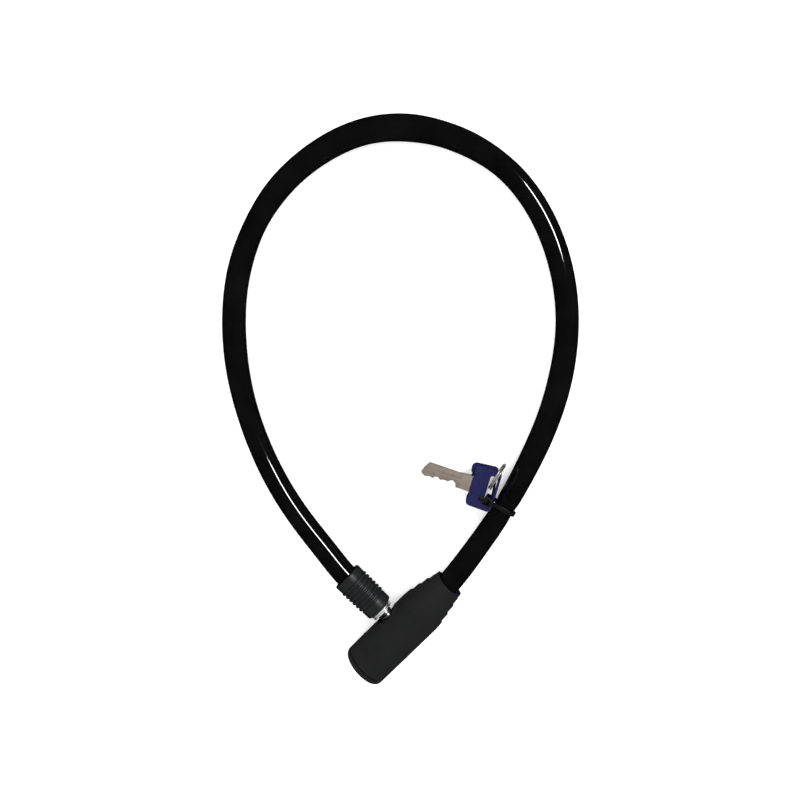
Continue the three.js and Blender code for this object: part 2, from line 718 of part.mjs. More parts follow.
// The tie goes round the cable and down through both slots. It is drawn in its own upright plane:
// X away from the cable towards the keys, Y up, with the cable's centre at the origin.
function cableTie() {
  const inner = CABLE_R + 0.4;
  const outer = inner + TIE_THICK;
  const [top, bottom] = [9.9, -outer];
  const right = TIE_REACH + TIE_THICK / 2;
  const left = TIE_REACH - TIE_THICK / 2;
  const round = 1.6;
  const loop = new THREE.Shape();
  loop.absarc(0, 0, outer, 0.55 * Math.PI, 1.5 * Math.PI);
  loop.lineTo(right - round, bottom);
  loop.quadraticCurveTo(right, bottom, right, bottom + round);
  loop.lineTo(right, top);
  loop.lineTo(left, top);
  const hole = new THREE.Path();
  hole.absarc(0, 0, inner, 0.55 * Math.PI, 1.5 * Math.PI);
  hole.lineTo(left - round / 2, -inner);
  hole.quadraticCurveTo(left, -inner, left, -inner + round / 2);
  hole.lineTo(left, top - TIE_THICK);
  loop.holes.push(hole);
  const box = new THREE.BoxGeometry(TIE_BOX, TIE_BOX - 1, TIE_BOX);
  box.translate(TIE_REACH, top, 0);
  const tail = new THREE.BoxGeometry(TIE_THICK, 5, TIE_WIDTH);
  tail.rotateZ(-0.9).translate(TIE_REACH + 3, top + 2, 0);
  return carve(slab(loop, TIE_WIDTH, 10), { joins: [box, tail] });
}

const tie = cableTie();
tie.rotateX(Math.PI / 2).rotateZ(aside).translate(seat.x, seat.y, seat.z);
add("cable_tie", tie, 0x141518, 0.4, 0);

export default lock;
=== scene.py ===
"""Looks of the keyed cable lock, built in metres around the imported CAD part."""

import json
import math

import bmesh
import bpy
from mathutils import Matrix, Vector

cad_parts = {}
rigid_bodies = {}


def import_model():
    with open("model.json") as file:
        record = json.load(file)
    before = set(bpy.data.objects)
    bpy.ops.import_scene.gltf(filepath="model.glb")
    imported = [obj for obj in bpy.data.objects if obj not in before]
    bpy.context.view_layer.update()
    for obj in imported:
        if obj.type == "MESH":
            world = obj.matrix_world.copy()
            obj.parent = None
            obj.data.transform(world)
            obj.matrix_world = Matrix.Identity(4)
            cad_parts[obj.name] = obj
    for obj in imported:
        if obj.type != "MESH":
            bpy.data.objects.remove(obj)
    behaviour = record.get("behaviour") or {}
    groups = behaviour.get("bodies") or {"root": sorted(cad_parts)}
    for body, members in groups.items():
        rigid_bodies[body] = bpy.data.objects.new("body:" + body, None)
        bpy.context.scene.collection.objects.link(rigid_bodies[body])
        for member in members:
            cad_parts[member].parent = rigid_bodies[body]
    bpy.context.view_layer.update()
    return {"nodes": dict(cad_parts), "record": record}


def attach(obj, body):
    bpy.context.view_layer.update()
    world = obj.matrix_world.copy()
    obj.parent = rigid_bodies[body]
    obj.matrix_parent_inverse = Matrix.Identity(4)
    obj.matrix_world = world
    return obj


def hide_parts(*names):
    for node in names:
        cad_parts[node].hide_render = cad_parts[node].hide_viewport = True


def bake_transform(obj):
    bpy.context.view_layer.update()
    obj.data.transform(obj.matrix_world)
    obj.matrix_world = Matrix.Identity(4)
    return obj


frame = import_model()

MM = 0.001
AXIS_Z = 12.0  # height of the barrel's and the stud's axes, in millimetres
WELD = 2e-7  # in metres: points nearer than this become one
SCENE = bpy.context.scene
SCENE.view_settings.view_transform = "Standard"


# ---- meshes -----------------------------------------------------------------------------------
# Points are in millimetres, in the row frame, and are scaled to metres as a piece is made.


def smooth(t):
    """Eases t from 0 to 1, level at both ends."""
    t = min(max(t, 0.0), 1.0)
    return t * t * (3 - 2 * t)


def even(t):
    """No easing."""
    return t


def along(table, at, ease=smooth):
    """The value at a station of a table of (station, value), eased from row to row."""
    if at <= table[0][0]:
        return table[0][1]
    for (low, first), (high, second) in zip(table, table[1:]):
        if at <= high:
            return first + (second - first) * ease((at - low) / (high - low))
    return table[-1][1]


def straight(table, at):
    """The same, turning sharply at each row."""
    return along(table, at, even)


def rounded(corners, steps=5):
    """A closed outline with its corners rounded; a corner is (a, b) or (a, b, set-back)."""
    most = 0.48  # of an edge, so that the roundings of its two ends don't meet
    points = []
    count = len(corners)
    for i, corner in enumerate(corners):
        p = Vector(corner[:2])
        setback = corner[2] if len(corner) > 2 else 0
        if not setback:
            points.append(p)
            continue
        before = Vector(corners[i - 1][:2]) - p
        after = Vector(corners[(i + 1) % count][:2]) - p
        start = p + before.normalized() * min(setback, before.length * most)
        end = p + after.normalized() * min(setback, after.length * most)
        for k in range(steps + 1):
            t = k / steps
            points.append(start.lerp(p, t).lerp(p.lerp(end, t), t))
    return points


def oriented(mesh, drop_slivers=False):
    """The mesh with doubled points welded and all faces pointing out, as a boolean needs."""
    work = bmesh.new()
    work.from_mesh(mesh)
    bmesh.ops.remove_doubles(work, verts=work.verts, dist=WELD)
    if drop_slivers:
        bmesh.ops.dissolve_degenerate(work, edges=work.edges, dist=WELD / 20)
    bmesh.ops.recalc_face_normals(work, faces=work.faces)
    work.to_mesh(mesh)
    work.free()
    return mesh


def finished(name, mesh, slot, body, replaced, sharp=32):
    """A piece from a mesh in metres: shaded, given its material, and joined to its body if named."""
    oriented(mesh, drop_slivers=True)
    mesh.shade_smooth()
    mesh.set_sharp_from_angle(angle=math.radians(sharp))
    piece = bpy.data.objects.new(name, mesh)
    SCENE.collection.objects.link(piece)
    mesh.materials.clear()
    mesh.materials.append(MATERIALS[slot])
    if body:
        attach(piece, body)
    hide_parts(replaced)
    return piece


def mesh_of(name, points, faces):
    mesh = bpy.data.meshes.new(name)
    mesh.from_pydata([[c * MM for c in p] for p in points], [], faces)
    return mesh


def grid_faces(rows, columns, close_rows=False, close_columns=False):
    """Quads over points numbered row by row."""
    faces = []
    for i in range(rows if close_rows else rows - 1):
        for j in range(columns if close_columns else columns - 1):
            a = i * columns + j
            b = i * columns + (j + 1) % columns
            c = ((i + 1) % rows) * columns + (j + 1) % columns
            d = ((i + 1) % rows) * columns + j
            faces.append((a, b, c, d))
    return faces


def end_faces(rows, columns):
    """The two faces that close the ends of a tube of points numbered row by row."""
    last = (rows - 1) * columns
    return [tuple(range(columns)), tuple(range(last + columns - 1, last - 1, -1))]


def lathe_mesh(name, profile, axis, sides=128):
    """A closed profile of (station, radius) turned about the barrel's axis, X, or the stud's, Y."""
    points = []
    for k in range(sides):
        angle = 2 * math.pi * k / sides
        for station, radius in profile:
            across = radius * math.cos(angle)
            height = AXIS_Z + radius * math.sin(angle)
            points.append((station, across, height) if axis == "X" else (across, station, height))
    return mesh_of(name, points, grid_faces(sides, len(profile), True, True))


def extruded_mesh(name, outlines, thickness, bevel, bevel_steps=3):
    """A plate of the outlines (the first is the edge, the others are holes), with round edges."""
    curve = bpy.data.curves.new(name, "CURVE")
    curve.dimensions = "2D"
    curve.fill_mode = "BOTH"
    curve.extrude = (thickness / 2 - bevel) * MM
    curve.bevel_depth = bevel * MM
    curve.bevel_resolution = bevel_steps
    curve.offset = -bevel * MM
    for outline in outlines:
        spline = curve.splines.new("POLY")
        spline.points.add(len(outline) - 1)
        for point, place in zip(spline.points, outline):
            point.co = (place[0] * MM, place[1] * MM, 0, 1)
        spline.use_cyclic_u = True
    holder = bpy.data.objects.new(name, curve)
    SCENE.collection.objects.link(holder)
    depsgraph = bpy.context.evaluated_depsgraph_get()
    mesh = bpy.data.meshes.new_from_object(holder.evaluated_get(depsgraph))
    bpy.data.objects.remove(holder)
    bpy.data.curves.remove(curve)
    return mesh


def shaped(mesh, operation, *others):
    """The mesh with others cut away (DIFFERENCE) or joined on (UNION)."""
    holder = bpy.data.objects.new("holder", mesh)
    SCENE.collection.objects.link(holder)
    helpers = []
    for other in others:
        helper = bpy.data.objects.new("helper", other)
        SCENE.collection.objects.link(helper)
        helpers.append(helper)
        modifier = holder.modifiers.new("shape", "BOOLEAN")
        modifier.operation = operation
        modifier.solver = "EXACT"
        modifier.object = helper
    depsgraph = bpy.context.evaluated_depsgraph_get()
    result = bpy.data.meshes.new_from_object(holder.evaluated_get(depsgraph))
    for helper in helpers + [holder]:
        old = helper.data
        bpy.data.objects.remove(helper)
        bpy.data.meshes.remove(old)
    return result


def brick_mesh(low, high, rounding=0.0):
    """A block between two corners in millimetres, with rounded edges."""
    work = bmesh.new()
    bmesh.ops.create_cube(work, size=1)
    for vertex in work.verts:
        for axis in range(3):
            middle = (low[axis] + high[axis]) / 2
            vertex.co[axis] = (middle + vertex.co[axis] * (high[axis] - low[axis])) * MM
    if rounding:
        bmesh.ops.bevel(
            work,
            geom=list(work.edges) + list(work.verts),
            offset=rounding * MM,
            segments=4,
            profile=0.5,
            affect="EDGES",
        )
    mesh = bpy.data.meshes.new("brick")
    work.to_mesh(mesh)
    work.free()
    return mesh


def moved(mesh, matrix):
    mesh.transform(matrix)
    return mesh


def spline_points(route, spacing):
    """Points every `spacing` along the natural cubic spline through a route, and its length."""
    knots = [Vector(p) for p in route]
    at = [0.0]
    for a, b in zip(knots, knots[1:]):
        at.append(at[-1] + (b - a).length)
    n = len(knots)
    lower = [0.0] * n
    diagonal = [1.0] * n
    upper = [0.0] * n
    right = [Vector((0, 0, 0)) for _ in range(n)]
    for i in range(1, n - 1):
        before = at[i] - at[i - 1]
        after = at[i + 1] - at[i]
        lower[i] = before
        diagonal[i] = 2 * (before + after)
        upper[i] = after
        rise = (knots[i + 1] - knots[i]) / after - (knots[i] - knots[i - 1]) / before
        right[i] = 6 * rise
    for i in range(1, n):
        factor = lower[i] / diagonal[i - 1]
        diagonal[i] -= factor * upper[i - 1]
        right[i] = right[i] - factor * right[i - 1]
    bend = [Vector((0, 0, 0)) for _ in range(n)]
    for i in range(n - 1, -1, -1):
        following = upper[i] * bend[i + 1] if i + 1 < n else Vector((0, 0, 0))
        bend[i] = (right[i] - following) / diagonal[i]
    parts = 24  # of each span between two knots
    dense = []
    for i in range(n - 1):
        step = at[i + 1] - at[i]
        for k in range(parts):
            b = k / parts
            a = 1 - b
            bowed = (a**3 - a) * bend[i] + (b**3 - b) * bend[i + 1]
            dense.append(a * knots[i] + b * knots[i + 1] + bowed * step * step / 6)
    dense.append(knots[-1])
    total = sum((b - a).length for a, b in zip(dense, dense[1:]))
    count = max(2, round(total / spacing))
    points = [dense[0]]
    walked = 0.0
    target = total / count
    slack = 1e-9
    for a, b in zip(dense, dense[1:]):
        length = (b - a).length
        while walked + length >= target - slack and len(points) < count:
            points.append(a.lerp(b, (target - walked) / length))
            target += total / count
        walked += length
    points.append(dense[-1])
    return points, total


def frames_along(points, first_side):
    """A side and an up direction at each point, carried along without twisting."""
    result = []
    side = Vector(first_side)
    for i in range(len(points)):
        before = points[max(i - 1, 0)]
        after = points[min(i + 1, len(points) - 1)]
        tangent = (after - before).normalized()
        side = (side - tangent * side.dot(tangent)).normalized()
        result.append((side, tangent.cross(side)))
    return result


def tube_mesh(name, points, first_side, sides, section):
    """A tube: section(i, angle) gives the offsets to the side and up at point i."""
    skin = []
    for i, (side, up) in enumerate(frames_along(points, first_side)):
        for k in range(sides):
            out, high = section(i, 2 * math.pi * k / sides)
            skin.append(points[i] + side * out + up * high)
    faces = grid_faces(len(points), sides, close_columns=True) + end_faces(len(points), sides)
    return mesh_of(name, skin, faces)


# ---- materials --------------------------------------------------------------------------------


class Nodes:
    """A material's node tree, with one method per kind of node it uses."""

    def __init__(self, name):
        self.material = bpy.data.materials.new(name)
        self.material.use_nodes = True
        self.tree = self.material.node_tree
        self.tree.nodes.clear()
        self.shader = self.tree.nodes.new("ShaderNodeBsdfPrincipled")
        output = self.tree.nodes.new("ShaderNodeOutputMaterial")
        self.link(self.shader.outputs["BSDF"], output.inputs["Surface"])
        self.place = self.tree.nodes.new("ShaderNodeTexCoord").outputs["Object"]

    def link(self, source, target):
        self.tree.links.new(source, target)

    def stretched(self, scale):
        mapping = self.tree.nodes.new("ShaderNodeMapping")
        mapping.inputs["Scale"].default_value = scale
        self.link(self.place, mapping.inputs["Vector"])
        return mapping.outputs["Vector"]

    def noise(self, scale, detail=3.0, roughness=0.55, stretch=None):
        node = self.tree.nodes.new("ShaderNodeTexNoise")
        node.inputs["Scale"].default_value = scale
        node.inputs["Detail"].default_value = detail
        node.inputs["Roughness"].default_value = roughness
        place = self.stretched(stretch) if stretch else self.place
        self.link(place, node.inputs["Vector"])
        return node.outputs["Fac"]

    def spread(self, source, low, high, from_low=0.3, from_high=0.7):
        node = self.tree.nodes.new("ShaderNodeMapRange")
        node.inputs["From Min"].default_value = from_low
        node.inputs["From Max"].default_value = from_high
        node.inputs["To Min"].default_value = low
        node.inputs["To Max"].default_value = high
        self.link(source, node.inputs["Value"])
        return node.outputs["Result"]

    def colours(self, source, stops):
        node = self.tree.nodes.new("ShaderNodeValToRGB")
        ramp = node.color_ramp
        for element, (position, colour) in zip(ramp.elements, (stops[0], stops[-1])):
            element.position = position
            element.color = (*colour, 1)
        for position, colour in stops[1:-1]:
            ramp.elements.new(position).color = (*colour, 1)
        self.link(source, node.inputs["Fac"])
        return node.outputs["Color"]

    def bump(self, source, depth_mm, before=None):
        node = self.tree.nodes.new("ShaderNodeBump")
        node.inputs["Distance"].default_value = depth_mm * MM
        self.link(source, node.inputs["Height"])
        if before is not None:
            self.link(before, node.inputs["Normal"])
        return node.outputs["Normal"]

    def set(self, **values):
        for name, value in values.items():
            socket = self.shader.inputs[name.replace("_", " ")]
            if isinstance(value, bpy.types.NodeSocket):
                self.link(value, socket)
            else:
                socket.default_value = value
        return self.material


def shade(colour, factor):
    return tuple(c * factor for c in colour)


def moulded(name, colour, rough, patchy, grain_mm, grain_depth, mottle=0.12, tint=None, **more):
    """Moulded plastic or rubber: faint mottling, patchy sheen and a fine texture."""
    nodes = Nodes(name)
    cloud = nodes.noise(140, detail=4)
    other = tint or shade(colour, 1 + mottle)
    base = nodes.colours(cloud, [(0.3, shade(colour, 1 - mottle)), (0.5, colour), (0.72, other)])
    sheen = nodes.spread(nodes.noise(420, detail=5), rough - patchy, rough + patchy)
    fine = nodes.bump(nodes.noise(1 / (grain_mm * MM), detail=2), grain_depth)
    waves = nodes.bump(nodes.noise(260, detail=2), 0.012, before=fine)
    return nodes.set(Base_Color=base, Roughness=sheen, Normal=waves, **more)


def metal(name, colour, rough, patchy, stretch, scale, depth, tint=None, **more):
    """Bare or plated metal with drawn or turned marks along one direction."""
    nodes = Nodes(name)
    marks = nodes.noise(scale, detail=5, roughness=0.6, stretch=stretch)
    cloud = nodes.noise(300, detail=4)
    other = tint or shade(colour, 0.86)
    base = nodes.colours(cloud, [(0.3, other), (0.6, colour)])
    sheen = nodes.spread(marks, rough - patchy, rough + patchy)
    fine = nodes.bump(marks, depth)
    return nodes.set(Base_Color=base, Roughness=sheen, Normal=fine, Metallic=1.0, **more)


def sheath_vinyl():
    """Glossy extruded vinyl: long shallow waves, a faint orange peel and a few rubbed patches."""
    nodes = Nodes("sheath_vinyl")
    cloud = nodes.noise(60, detail=5)
    base = nodes.colours(cloud, [(0.3, (0.0016, 0.0016, 0.0018)), (0.75, (0.0035, 0.0036, 0.0038))])
    rubs = nodes.noise(900, detail=6, roughness=0.7)
    sheen = nodes.spread(rubs, 0.06, 0.11, from_low=0.4, from_high=0.8)
    waves = nodes.bump(nodes.noise(95, detail=2), 0.02)
    peel = nodes.bump(nodes.noise(700, detail=2), 0.0015, before=waves)
    return nodes.set(
        Base_Color=base,
        Roughness=sheen,
        Normal=peel,
        Specular_IOR_Level=0.5,
        Coat_Weight=1.0,
        Coat_Roughness=0.05,
    )


def wire_rope():
    """Galvanised rope: dull and a little uneven, with bright and dark bands across it; the dark bands
    are painted shade in the valleys between the strands, lighter on their crests.
    """
    nodes = Nodes("wire_rope")
    wave = nodes.tree.nodes.new("ShaderNodeTexWave")
    wave.wave_type = "BANDS"
    wave.bands_direction = "DIAGONAL"
    wave.inputs["Scale"].default_value = 260
    wave.inputs["Distortion"].default_value = 1.5
    wave.inputs["Detail"].default_value = 2
    nodes.link(nodes.place, wave.inputs["Vector"])
    strand_relief_and_shade = wave.outputs["Fac"]
    # Painted shade: the colour follows the strands' relief, dark in the valleys between them.
    base = nodes.colours(strand_relief_and_shade, [(0.1, (0.09, 0.09, 0.095)), (0.8, (0.36, 0.37, 0.39))])
    sheen = nodes.spread(nodes.noise(800, detail=4), 0.35, 0.55)
    relief = nodes.bump(strand_relief_and_shade, 0.2)
    return nodes.set(Base_Color=base, Roughness=sheen, Normal=relief, Metallic=1.0)


PLASTICS = {
    "soft_touch": dict(
        colour=(0.0084, 0.009, 0.0087),
        tint=(0.009, 0.011, 0.0088),
        rough=0.62,
        patchy=0.07,
        grain_mm=0.09,
        grain_depth=0.006,
        Specular_IOR_Level=0.22,
        Sheen_Weight=0.02,
        Sheen_Roughness=0.45,
        Sheen_Tint=(0.75, 0.85, 0.8, 1),
    ),
    "grip_plastic": dict(
        colour=(0.0112, 0.0125, 0.013),
        rough=0.36,
        patchy=0.06,
        grain_mm=0.12,
        grain_depth=0.005,
        Specular_IOR_Level=0.5,
    ),
    "bush_plastic": dict(
        colour=(0.009, 0.01, 0.11), rough=0.42, patchy=0.06, grain_mm=0.12, grain_depth=0.004
    ),
    "rubber": dict(
        colour=(0.008, 0.008, 0.008), rough=0.75, patchy=0.08, grain_mm=0.1, grain_depth=0.01
    ),
    "key_plastic": dict(
        colour=(0.0082, 0.0095, 0.062),
        tint=(0.0125, 0.0095, 0.078),
        mottle=0.1,
        rough=0.38,
        patchy=0.07,
        grain_mm=0.15,
        grain_depth=0.006,
        Specular_IOR_Level=0.3,
        Subsurface_Weight=0.05,
        Subsurface_Scale=0.0006,
    ),
    "tie_nylon": dict(
        colour=(0.0045, 0.0052, 0.0052), rough=0.4, patchy=0.08, grain_mm=0.2, grain_depth=0.006
    ),
}
METALS = {
    "zinc": dict(
        colour=(0.3, 0.31, 0.33), rough=0.48, patchy=0.1, stretch=(1, 1, 1), scale=1600, depth=0.012
    ),
    "brass": dict(
        colour=(0.5, 0.34, 0.11), rough=0.34, patchy=0.08, stretch=(8, 1, 1), scale=900, depth=0.004
    ),
    "steel": dict(
        colour=(0.42, 0.42, 0.43), rough=0.3, patchy=0.08, stretch=(9, 1, 1), scale=900, depth=0.003
    ),
    "spring_steel": dict(
        colour=(0.56, 0.55, 0.53), rough=0.24, patchy=0.07, stretch=(1, 1, 1), scale=1500, depth=0.003
    ),
    "chrome": dict(
        colour=(0.86, 0.87, 0.87),
        tint=(0.78, 0.79, 0.8),
        rough=0.3,
        patchy=0.05,
        stretch=(1, 9, 1),
        scale=700,
        depth=0.0004,
    ),
    "key_nickel": dict(
        colour=(0.34, 0.3, 0.26),
        tint=(0.3, 0.24, 0.17),
        rough=0.33,
        patchy=0.09,
        stretch=(1, 6, 1),
        scale=800,
        depth=0.008,
    ),
}
MATERIALS = {"sheath_vinyl": sheath_vinyl(), "wire_rope": wire_rope()}
MATERIALS.update({name: moulded(name, **look) for name, look in PLASTICS.items()})
MATERIALS.update({name: metal(name, **look) for name, look in METALS.items()})
BARE_METALS = [MATERIALS[name] for name in [*METALS, "wire_rope"]]


# ---- camera -----------------------------------------------------------------------------------

ROLL = math.radians(-45.53)
TILT_UP = math.radians(6)
TILT_SIDE = math.radians(5)
CAMERA_AIM = Vector((83.95, 83.67, 0)) * MM
CAMERA_DISTANCE = 415.2 * MM


def add_camera():
    right = Vector((math.cos(ROLL), math.sin(ROLL), 0))
    up = Vector((-math.sin(ROLL), math.cos(ROLL), 0))
    high = Vector((0, 0, 1))
    back = math.cos(TILT_UP) * high + math.sin(TILT_UP) * up
    up = math.cos(TILT_UP) * up - math.sin(TILT_UP) * high
    leaning = math.cos(TILT_SIDE) * back + math.sin(TILT_SIDE) * right
    right = math.cos(TILT_SIDE) * right - math.sin(TILT_SIDE) * back
    data = bpy.data.cameras.new("camera")
    data.lens = 36
    data.sensor_width = 36
    data.clip_start = 0.01
    data.clip_end = 20
    camera = bpy.data.objects.new("camera", data)
    SCENE.collection.objects.link(camera)
    turn = Matrix((right, up, leaning)).transposed()
    place = Matrix.Translation(CAMERA_AIM + CAMERA_DISTANCE * leaning)
    camera.matrix_world = place @ turn.to_4x4()
    SCENE.camera = camera


add_camera()


# ---- cable ------------------------------------------------------------------------------------

CABLE_ROUTE = [
    (22, 0, 12),
    (29, 0, 12),
    (57.5, 3, 10.4),
    (83, 7.5, 7.5),
    (107.5, 14.5, 6.3),
    (131.5, 24, 6.1),
    (154, 37, 6.1),
    (173.5, 53.5, 6.1),
    (189, 74, 6.1),
    (199.5, 97.5, 6.1),
    (203.5, 123, 6.1),
    (199, 148.5, 6.1),
    (187.5, 171, 6.1),
    (169, 189, 6.1),
    (145.5, 199, 6.1),
    (120, 202, 6.1),
    (94.5, 197.5, 6.1),
    (71, 186.5, 6.1),
    (51, 170.5, 6.1),
    (34, 151, 6.1),
    (20.5, 129, 6.1),
    (10.5, 105.5, 6.6),
    (4.5, 80.5, 8.9),
    (1.5, 55, 11.4),
    (0, 40, 12),
    (0, 33, 12),
]
cable_points, cable_length = spline_points(CABLE_ROUTE, 1.25)

TIE_SHARE = 0.102  # of the cable's length, from the neck's anchor to the tie
TIE_DISTANCE = TIE_SHARE * cable_length
# Half the sheath's width and height at distances from the neck's anchor: the tie pinches it, and
# it flattens where the loop bends hardest.
SHEATH_HALF_WIDTH = [
    (0, 6.0),
    (18, 6.0),
    (48, 5.75),
    (TIE_DISTANCE - 7, 5.65),
    (TIE_DISTANCE, 5.2),
    (TIE_DISTANCE + 7, 5.7),
    (100, 6.0),
    (128, 6.05),
    (165, 5.7),
    (190, 5.75),
    (245, 5.65),
    (275, 6.2),
    (300, 6.7),
    (330, 6.4),
    (368, 6.1),
    (395, 5.65),
    (420, 6.0),
    (455, 6.1),
    (495, 5.75),
    (540, 5.9),
    (575, 6.0),
    (600, 6.0),
]
SHEATH_HALF_HEIGHT = [
    (0, 6.0),
    (TIE_DISTANCE - 9, 5.9),
    (TIE_DISTANCE, 5.45),
    (TIE_DISTANCE + 9, 5.9),
    (255, 5.9),
    (300, 5.6),
    (345, 5.9),
    (600, 6.0),
]


def cable_sheath():
    spacing = cable_length / (len(cable_points) - 1)
    taper = 0.06  # of the radius, at both ends
    taper_length = 0.8

    def section(i, angle):
        at = i * spacing
        wide = along(SHEATH_HALF_WIDTH, at)
        high = along(SHEATH_HALF_HEIGHT, at)
        end = min(at, cable_length - at)
        trim = 1 - taper * (1 - smooth(end / taper_length))
        return wide * trim * math.cos(angle), high * trim * math.sin(angle)

    mesh = tube_mesh("sheath", cable_points, (0, -1, 0), 48, section)
    return finished("sheath", mesh, "sheath_vinyl", None, "cable_sheath", sharp=50)


def wire_core():
    """The rope inside the sheath: six strands laid round it, straight into both end sleeves."""
    line = [Vector((9.5, 0, AXIS_Z)), Vector((15, 0, AXIS_Z))]
    line += cable_points
    line += [Vector((0, 29, AXIS_Z)), Vector((0, 24.7, AXIS_Z))]
    strands = 6
    turns_per_point = 0.035
    valley_r = 2.62
    strand_height = 0.14

    def section(i, angle):
        lay = 2 * math.pi * turns_per_point * i
        radius = valley_r + strand_height * abs(math.cos(strands / 2 * (angle + lay)))
        return radius * math.cos(angle), radius * math.sin(angle)

    mesh = tube_mesh("rope", line, (0, -1, 0), 36, section)
    return finished("rope", mesh, "wire_rope", None, "cable_core", sharp=50)


def bend_with_ferrule(piece):
    """Bakes the piece's placement into its mesh; no leg is bent or made to follow the ferrule."""
    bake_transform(piece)


sheath = cable_sheath()
bend_with_ferrule(sheath)
rope = wire_core()
bend_with_ferrule(rope)


# ---- barrel -----------------------------------------------------------------------------------

SEAM_X = -26.4
MOUTH_X = 36.0
BARREL_R = 12.0
SOCKET_R = 6.0
SCOOP_R = 30.0
PANEL_R = [
    (-30, 12),
    (13.5, 12),
    (18.6, 11.35),
    (23.8, 10.4),
    (29, 9.35),
    (33.5, 8.5),
    (36, 8.05),
]
RIB_R = [
    (-30, 12),
    (13.2, 12),
    (18.2, 11.62),
    (18.75, 10.7),
    (19.3, 10.9),
    (23.4, 10.66),
    (23.95, 9.72),
    (24.5, 9.92),
    (28.6, 9.66),
    (29.15, 8.68),
    (29.7, 8.88),
    (33.2, 8.5),
    (33.7, 8.2),
    (34.3, 8.2),
    (36, 8.0),
]
SCOOP_DEPTH = 1.6
WALL_R = 10.4  # of the inner skin, round the lock case
BORE_R = 7.2  # of the inner skin, in the neck
LIP_R = 7.6  # where the scoop is taken for the inner skin
INNER_R = [(-30, WALL_R), (15, WALL_R), (23.8, 8.8), (24.1, BORE_R), (40, BORE_R)]
BLOCK_X = 9  # half the length of the stretch that is woven round the socket


def spread_over(table, at, reach):
    """The table's value averaged over a short reach, which rounds its turns."""
    steps = 6
    total = 0.0
    for k in range(-steps, steps + 1):
        total += straight(table, at + reach * k / steps)
    return total / (2 * steps + 1)


def cover_radius(angle, panel, rib):
    """The ribs lie to both sides. The angle is from the socket's side, +Y, up towards +Z."""
    ribs_end = 27  # degrees from the side
    fade = 9
    from_side = math.degrees(math.acos(min(1.0, abs(math.cos(angle)))))
    share = smooth((from_side - ribs_end) / fade)
    return rib * (1 - share) + panel * share


def mouth_at(angle, radius):
    """The mouth's end at this angle: it is scooped back at the top and at the bottom."""
    y = radius * math.cos(angle)
    return MOUTH_X - SCOOP_DEPTH + SCOOP_R - math.sqrt(SCOOP_R**2 - y * y)


def cover_stations():
    """The rows of points along the cover, and the first and last row of the block."""
    stations = [SEAM_X + 0.02, SEAM_X + 0.12, SEAM_X + 0.3, SEAM_X + 0.6]
    x = SEAM_X + 1.2
    while x < -BLOCK_X - 0.01:
        stations.append(x)
        x += 0.9
    first = len(stations)
    block_rows = 40
    for k in range(block_rows + 1):
        stations.append(-BLOCK_X + 2 * BLOCK_X * k / block_rows)
    last = len(stations) - 1
    for k in range(1, 5):
        stations.append(BLOCK_X + k)
    x = BLOCK_X + 4.25
    while x < MOUTH_X - 0.1:
        stations.append(x)
        x += 0.21
    stations.append(MOUTH_X - 0.02)
    return stations, first, last


def joined(ring, following):
    """Quads between two closed rings of point numbers."""
    quads = []
    for j in range(len(ring)):
        k = (j + 1) % len(ring)
        quads.append((ring[j], ring[k], following[k], following[j]))
    return quads


